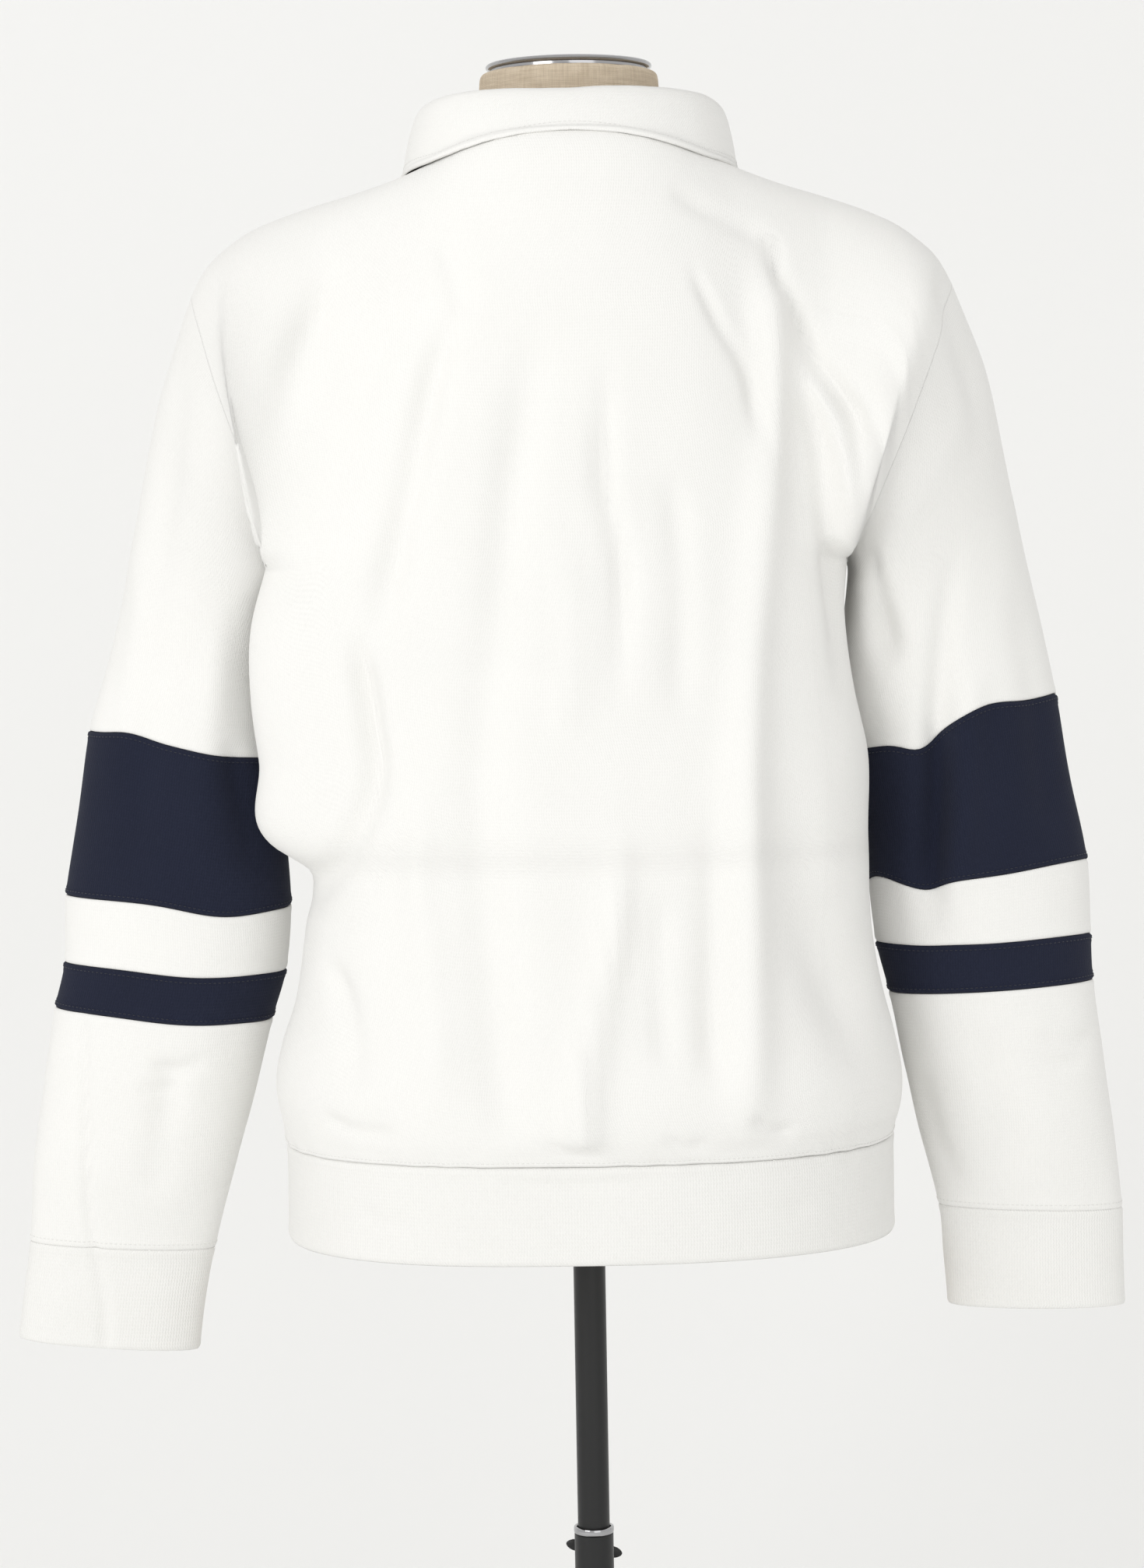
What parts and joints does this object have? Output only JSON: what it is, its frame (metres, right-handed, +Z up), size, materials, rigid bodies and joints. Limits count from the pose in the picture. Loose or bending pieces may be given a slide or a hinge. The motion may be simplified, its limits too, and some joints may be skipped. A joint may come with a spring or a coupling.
{
  "type": "sweatshirt on dress form stand",
  "caption": "Pale sweatshirt with a fold-down collar, banded drop-shoulder sleeves and a hem band, hanging on a limbless linen dress form on a height-adjustable pole stand.",
  "frame": {"origin": "on the floor, at the centre of the base plate's flat underside, under the pole's axis", "axes": "+Z up along the pole; the garment's back, which the picture shows, faces -Y and its front faces +Y; +X is the wearer's right and the picture's right"},
  "size_m": [0.753, 0.38, 1.5178],
  "materials": {
    "fleece": "matte",
    "rib": "matte",
    "navy": "matte",
    "linen": "matte",
    "chrome": "polished",
    "black_metal": "satin"
  },
  "bodies": {
    "stand": {"base_plate": "black_metal", "outer_tube": "black_metal", "tube_rim": "chrome"},
    "knob": {"clamp_knob": "black_metal"},
    "pole": {"pole": "black_metal"},
    "figure": {"form_torso": "linen", "neck_cap": "chrome", "back_panel": "fleece", "front_panel": "fleece", "collar": "fleece", "hem_band": "rib", "left_sleeve_upper": "fleece", "left_sleeve_band_wide": "navy", "left_sleeve_gap": "fleece", "left_sleeve_band_narrow": "navy", "left_sleeve_lower": "fleece", "left_cuff": "rib", "right_sleeve_upper": "fleece", "right_sleeve_band_wide": "navy", "right_sleeve_gap": "fleece", "right_sleeve_band_narrow": "navy", "right_sleeve_lower": "fleece", "right_cuff": "rib"}
  },
  "joints": [
    {"name": "height_slide", "type": "slide", "parent": "stand", "child": "pole", "axis": [0, 0, 1], "range_m": [-0.19, 0.2]},
    {"name": "form_swivel", "type": "hinge", "parent": "pole", "child": "figure", "pos_m": [0, 0, 0.739], "axis": [0, 0, 1], "continuous": true},
    {"name": "knob_turn", "type": "hinge", "parent": "stand", "child": "knob", "pos_m": [0, 0.02, 0.515], "axis": [0, 1, 0], "range_deg": [0, 540]}
  ]
}
